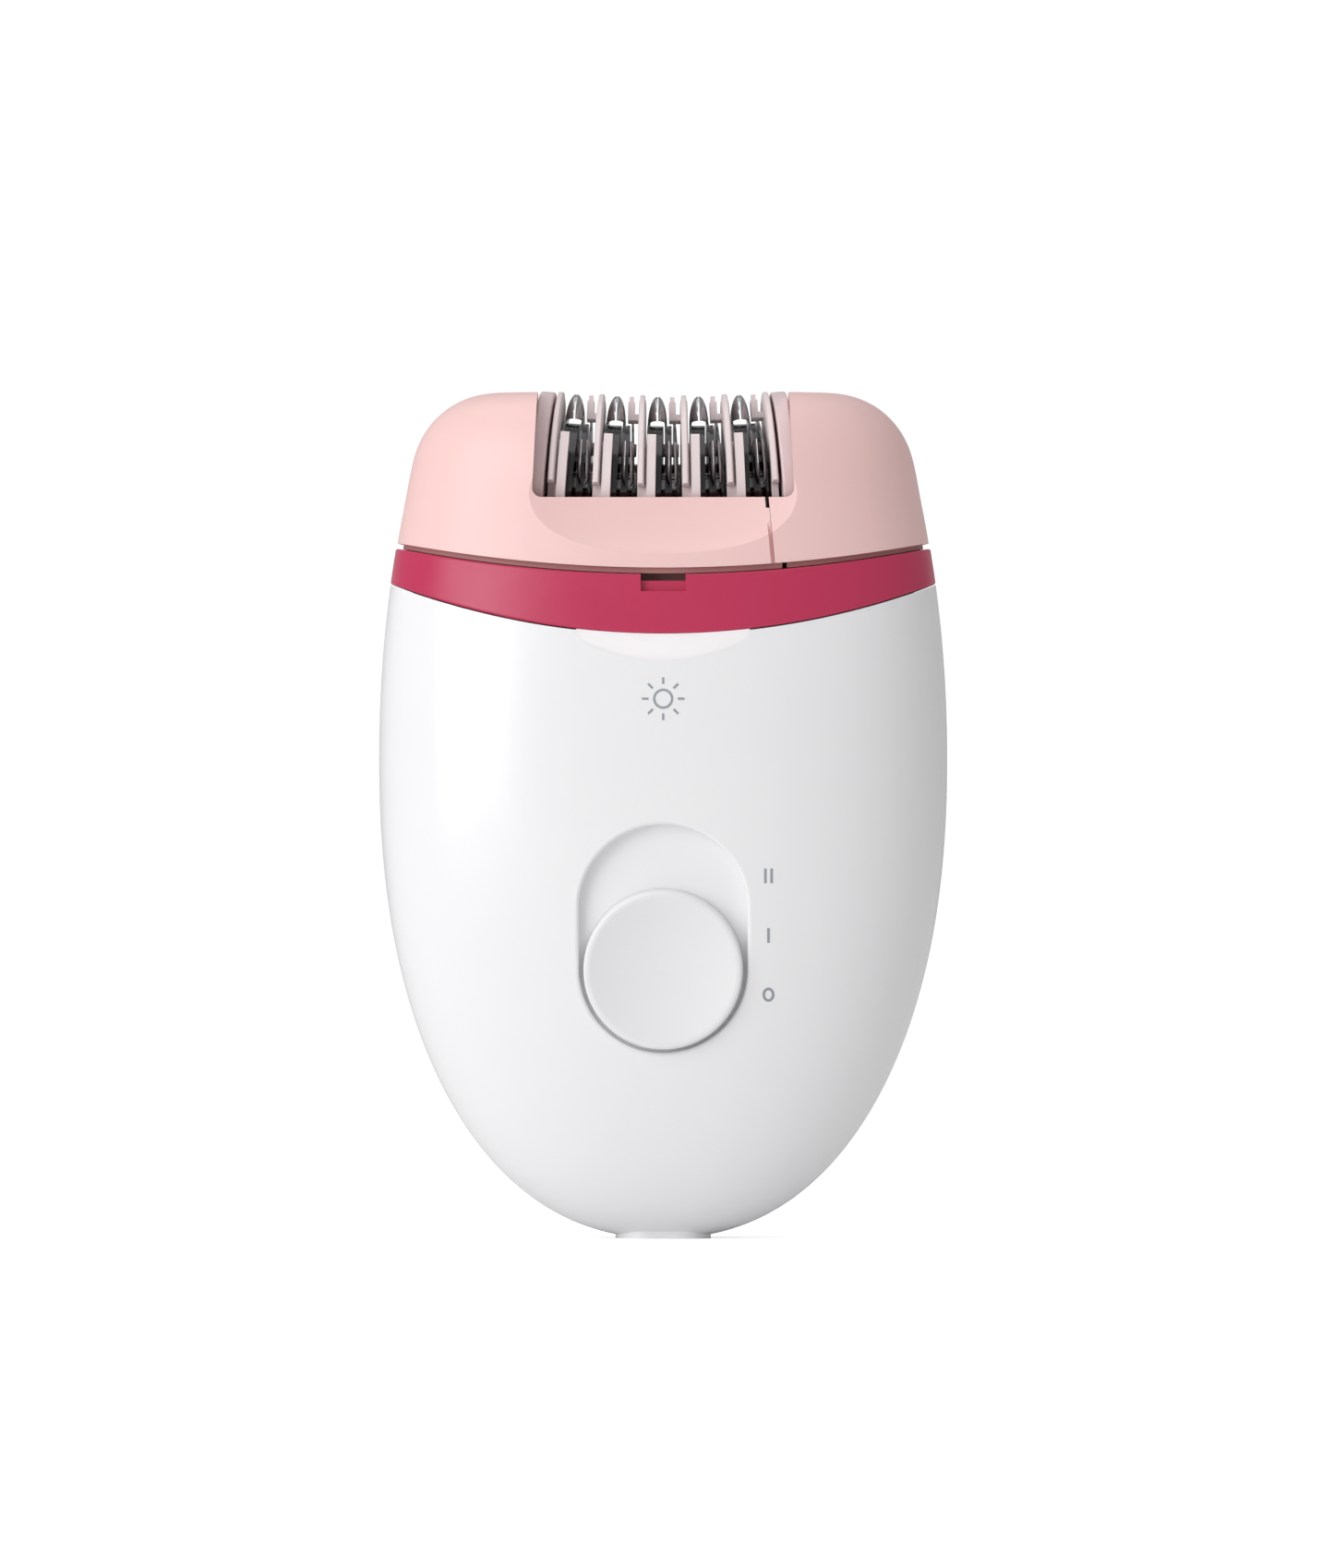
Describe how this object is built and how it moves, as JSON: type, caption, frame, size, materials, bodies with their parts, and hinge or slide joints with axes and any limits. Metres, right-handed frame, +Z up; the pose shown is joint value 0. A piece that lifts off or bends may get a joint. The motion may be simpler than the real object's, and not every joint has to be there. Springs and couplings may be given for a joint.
{
  "type": "epilator",
  "caption": "Hand-held hair remover with an egg-shaped body, slide switch, light window and lift-off head whose tilted tweezer discs turn on a bent axle",
  "frame": {"origin": "under the middle of the socket pad, at the lowest point of the body", "axes": "+Z up through the body to the head, front with the switch faces -Y, +X to the right seen from the front"},
  "size_m": [0.074, 0.0412, 0.1102],
  "materials": {
    "white_gloss": "glossy white moulded plastic",
    "magenta": "satin magenta moulded plastic",
    "pink": "satin pale pink moulded plastic",
    "dusky_pink": "satin dusky pink moulded plastic",
    "drum_pink": "satin grey-pink moulded plastic",
    "pale_plastic": "satin pinkish white moulded plastic",
    "blade_steel": "stamped stainless steel",
    "axle_steel": "ground steel",
    "clear": "clear moulded plastic",
    "lamp": "clear epoxy lamp",
    "board": "green circuit board",
    "grey_plastic": "matt grey moulded plastic",
    "pearl_grey": "satin pearl grey moulded plastic",
    "black_plastic": "matt black moulded plastic",
    "acetal": "off-white acetal",
    "plated": "nickel plated brass",
    "can_steel": "zinc plated steel",
    "ferrite": "dark ferrite",
    "core_steel": "laminated steel",
    "brass": "machined brass",
    "spring_steel": "spring steel",
    "screw_steel": "zinc plated steel"
  },
  "bodies": {
    "housing": {"front_shell": "white_gloss", "rear_shell": "white_gloss", "collar_band": "magenta", "well_deck": "grey_plastic", "light_window": "clear", "light_led": "lamp", "led_board": "board", "socket_housing": "grey_plastic", "socket_pins": "plated", "chassis": "grey_plastic", "motor_can": "can_steel", "motor_magnets": "ferrite", "motor_end_cap": "black_plastic", "control_board": "board", "switch_block": "black_plastic", "deck_screws": "screw_steel", "chassis_screws": "screw_steel", "compound_gear_axle": "axle_steel", "release_spring": "spring_steel"},
    "switch": {"switch_knob": "pearl_grey", "switch_carrier": "grey_plastic"},
    "release": {"release_button": "pearl_grey"},
    "motor_rotor": {"armature": "core_steel", "motor_pinion": "brass"},
    "compound": {"compound_gear": "acetal"},
    "head": {"head_cap": "pink", "head_gear_cover": "pink", "head_frame": "dusky_pink", "curved_axle": "axle_steel", "idler_axle": "axle_steel", "head_screws": "screw_steel"},
    "idler": {"head_idler_gear": "acetal"},
    "drive": {"drive_gear": "acetal"},
    "drum_left_body": {"drum_left": "drum_pink"},
    "divider_0_body": {"divider_0": "pale_plastic"},
    "tweezer_0a_body": {"tweezer_0a": "blade_steel"},
    "tweezer_0b_body": {"tweezer_0b": "blade_steel"},
    "tweezer_0c_body": {"tweezer_0c": "blade_steel"},
    "divider_1_body": {"divider_1": "pale_plastic"},
    "tweezer_1a_body": {"tweezer_1a": "blade_steel"},
    "tweezer_1b_body": {"tweezer_1b": "blade_steel"},
    "tweezer_1c_body": {"tweezer_1c": "blade_steel"},
    "divider_2_body": {"divider_2": "pale_plastic"},
    "tweezer_2a_body": {"tweezer_2a": "blade_steel"},
    "tweezer_2b_body": {"tweezer_2b": "blade_steel"},
    "tweezer_2c_body": {"tweezer_2c": "blade_steel"},
    "divider_3_body": {"divider_3": "pale_plastic"},
    "tweezer_3a_body": {"tweezer_3a": "blade_steel"},
    "tweezer_3b_body": {"tweezer_3b": "blade_steel"},
    "tweezer_3c_body": {"tweezer_3c": "blade_steel"},
    "divider_4_body": {"divider_4": "pale_plastic"},
    "tweezer_4a_body": {"tweezer_4a": "blade_steel"},
    "tweezer_4b_body": {"tweezer_4b": "blade_steel"},
    "tweezer_4c_body": {"tweezer_4c": "blade_steel"},
    "divider_5_body": {"divider_5": "pale_plastic"},
    "drum_right_body": {"drum_right": "drum_pink"}
  },
  "joints": [
    {"name": "switch_slide", "type": "slide", "parent": "housing", "child": "switch", "axis": [0, -0.0984, 0.9951], "range_m": [0, 0.0079]},
    {"name": "release_press", "type": "slide", "parent": "housing", "child": "release", "axis": [0, -1, 0], "range_m": [0, 0.0012], "stiffness_N_per_m": 900, "springref_m": -0.0012, "deforming": ["release_spring"]},
    {"name": "head_lift", "type": "slide", "parent": "housing", "child": "head", "axis": [0, 0, 1], "range_m": [0, 0.03]},
    {"name": "motor_spin", "type": "hinge", "parent": "housing", "child": "motor_rotor", "pos_m": [0, 0.00049, 0.06395], "axis": [1, 0, 0], "continuous": true},
    {"name": "compound_spin", "type": "hinge", "parent": "housing", "child": "compound", "pos_m": [0.022, 0.00049, 0.0752], "axis": [1, 0, 0], "continuous": true},
    {"name": "idler_spin", "type": "hinge", "parent": "head", "child": "idler", "pos_m": [0.0209, 0.00049, 0.085], "axis": [1, 0, 0], "continuous": true},
    {"name": "drive_spin", "type": "hinge", "parent": "head", "child": "drive", "pos_m": [0.0209, 0.00049, 0.0983], "axis": [1, 0, 0], "continuous": true},
    {"name": "drum_left_spin", "type": "hinge", "parent": "head", "child": "drum_left_body", "pos_m": [-0.01581, 0.00042, 0.0982], "axis": [0.9957, -0.053, -0.0757], "continuous": true},
    {"name": "divider_0_spin", "type": "hinge", "parent": "head", "child": "divider_0_body", "pos_m": [-0.01403, 0.00033, 0.09807], "axis": [0.9966, -0.047, -0.0671], "continuous": true},
    {"name": "tweezer_0a_spin", "type": "hinge", "parent": "head", "child": "tweezer_0a_body", "pos_m": [-0.01327, 0.0003, 0.09802], "axis": [0.9956, -0.054, -0.0771], "continuous": true},
    {"name": "tweezer_0b_spin", "type": "hinge", "parent": "head", "child": "tweezer_0b_body", "pos_m": [-0.01086, 0.0002, 0.09788], "axis": [0.998, -0.036, -0.0514], "continuous": true},
    {"name": "tweezer_0c_spin", "type": "hinge", "parent": "head", "child": "tweezer_0c_body", "pos_m": [-0.0095, 0.00015, 0.09782], "axis": [0.9997, -0.0135, -0.0193], "continuous": true},
    {"name": "divider_1_spin", "type": "hinge", "parent": "head", "child": "divider_1_body", "pos_m": [-0.00843, 0.00012, 0.09777], "axis": [0.9988, -0.0282, -0.0403], "continuous": true},
    {"name": "tweezer_1a_spin", "type": "hinge", "parent": "head", "child": "tweezer_1a_body", "pos_m": [-0.00766, 0.0001, 0.09774], "axis": [0.9981, -0.0352, -0.0503], "continuous": true},
    {"name": "tweezer_1b_spin", "type": "hinge", "parent": "head", "child": "tweezer_1b_body", "pos_m": [-0.00525, 0.00005, 0.09767], "axis": [0.9995, -0.0172, -0.0246], "continuous": true},
    {"name": "tweezer_1c_spin", "type": "hinge", "parent": "head", "child": "tweezer_1c_body", "pos_m": [-0.00388, 0.00003, 0.09764], "axis": [1, 0.0053, 0.0076], "continuous": true},
    {"name": "divider_2_spin", "type": "hinge", "parent": "head", "child": "divider_2_body", "pos_m": [-0.00281, 0.00001, 0.09762], "axis": [0.9999, -0.0094, -0.0134], "continuous": true},
    {"name": "tweezer_2a_spin", "type": "hinge", "parent": "head", "child": "tweezer_2a_body", "pos_m": [-0.00204, 0.00001, 0.09761], "axis": [0.9996, -0.0164, -0.0234], "continuous": true},
    {"name": "tweezer_2b_spin", "type": "hinge", "parent": "head", "child": "tweezer_2b_body", "pos_m": [0.00037, 0, 0.0976], "axis": [1, 0.0016, 0.0023], "continuous": true},
    {"name": "tweezer_2c_spin", "type": "hinge", "parent": "head", "child": "tweezer_2c_body", "pos_m": [0.00174, 0.00001, 0.09761], "axis": [0.9991, 0.0241, 0.0344], "continuous": true},
    {"name": "divider_3_spin", "type": "hinge", "parent": "head", "child": "divider_3_body", "pos_m": [0.00281, 0.00001, 0.09762], "axis": [0.9999, 0.0094, 0.0134], "continuous": true},
    {"name": "tweezer_3a_spin", "type": "hinge", "parent": "head", "child": "tweezer_3a_body", "pos_m": [0.00358, 0.00002, 0.09763], "axis": [1, 0.0024, 0.0034], "continuous": true},
    {"name": "tweezer_3b_spin", "type": "hinge", "parent": "head", "child": "tweezer_3b_body", "pos_m": [0.00599, 0.00006, 0.09769], "axis": [0.9994, 0.0204, 0.0292], "continuous": true},
    {"name": "tweezer_3c_spin", "type": "hinge", "parent": "head", "child": "tweezer_3c_body", "pos_m": [0.00736, 0.00009, 0.09773], "axis": [0.9972, 0.0429, 0.0613], "continuous": true},
    {"name": "divider_4_spin", "type": "hinge", "parent": "head", "child": "divider_4_body", "pos_m": [0.00843, 0.00012, 0.09777], "axis": [0.9988, 0.0282, 0.0403], "continuous": true},
    {"name": "tweezer_4a_spin", "type": "hinge", "parent": "head", "child": "tweezer_4a_body", "pos_m": [0.0092, 0.00014, 0.0978], "axis": [0.9993, 0.0212, 0.0303], "continuous": true},
    {"name": "tweezer_4b_spin", "type": "hinge", "parent": "head", "child": "tweezer_4b_body", "pos_m": [0.0116, 0.00023, 0.09792], "axis": [0.9977, 0.0392, 0.056], "continuous": true},
    {"name": "tweezer_4c_spin", "type": "hinge", "parent": "head", "child": "tweezer_4c_body", "pos_m": [0.01297, 0.00028, 0.098], "axis": [0.9942, 0.0616, 0.088], "continuous": true},
    {"name": "divider_5_spin", "type": "hinge", "parent": "head", "child": "divider_5_body", "pos_m": [0.01403, 0.00033, 0.09807], "axis": [0.9966, 0.047, 0.0671], "continuous": true},
    {"name": "drum_right_spin", "type": "hinge", "parent": "head", "child": "drum_right_body", "pos_m": [0.01581, 0.00042, 0.0982], "axis": [0.9957, 0.053, 0.0757], "continuous": true}
  ],
  "couplings": [
    {"joint": "compound_spin", "follows": "motor_spin", "ratio": -0.36364},
    {"joint": "idler_spin", "follows": "motor_spin", "ratio": 0.27273},
    {"joint": "drive_spin", "follows": "motor_spin", "ratio": -0.19835},
    {"joint": "drum_left_spin", "follows": "motor_spin", "ratio": -0.19835},
    {"joint": "divider_0_spin", "follows": "motor_spin", "ratio": -0.19835},
    {"joint": "tweezer_0a_spin", "follows": "motor_spin", "ratio": -0.19835},
    {"joint": "tweezer_0b_spin", "follows": "motor_spin", "ratio": -0.19835},
    {"joint": "tweezer_0c_spin", "follows": "motor_spin", "ratio": -0.19835},
    {"joint": "divider_1_spin", "follows": "motor_spin", "ratio": -0.19835},
    {"joint": "tweezer_1a_spin", "follows": "motor_spin", "ratio": -0.19835},
    {"joint": "tweezer_1b_spin", "follows": "motor_spin", "ratio": -0.19835},
    {"joint": "tweezer_1c_spin", "follows": "motor_spin", "ratio": -0.19835},
    {"joint": "divider_2_spin", "follows": "motor_spin", "ratio": -0.19835},
    {"joint": "tweezer_2a_spin", "follows": "motor_spin", "ratio": -0.19835},
    {"joint": "tweezer_2b_spin", "follows": "motor_spin", "ratio": -0.19835},
    {"joint": "tweezer_2c_spin", "follows": "motor_spin", "ratio": -0.19835},
    {"joint": "divider_3_spin", "follows": "motor_spin", "ratio": -0.19835},
    {"joint": "tweezer_3a_spin", "follows": "motor_spin", "ratio": -0.19835},
    {"joint": "tweezer_3b_spin", "follows": "motor_spin", "ratio": -0.19835},
    {"joint": "tweezer_3c_spin", "follows": "motor_spin", "ratio": -0.19835},
    {"joint": "divider_4_spin", "follows": "motor_spin", "ratio": -0.19835},
    {"joint": "tweezer_4a_spin", "follows": "motor_spin", "ratio": -0.19835},
    {"joint": "tweezer_4b_spin", "follows": "motor_spin", "ratio": -0.19835},
    {"joint": "tweezer_4c_spin", "follows": "motor_spin", "ratio": -0.19835},
    {"joint": "divider_5_spin", "follows": "motor_spin", "ratio": -0.19835},
    {"joint": "drum_right_spin", "follows": "motor_spin", "ratio": -0.19835}
  ]
}
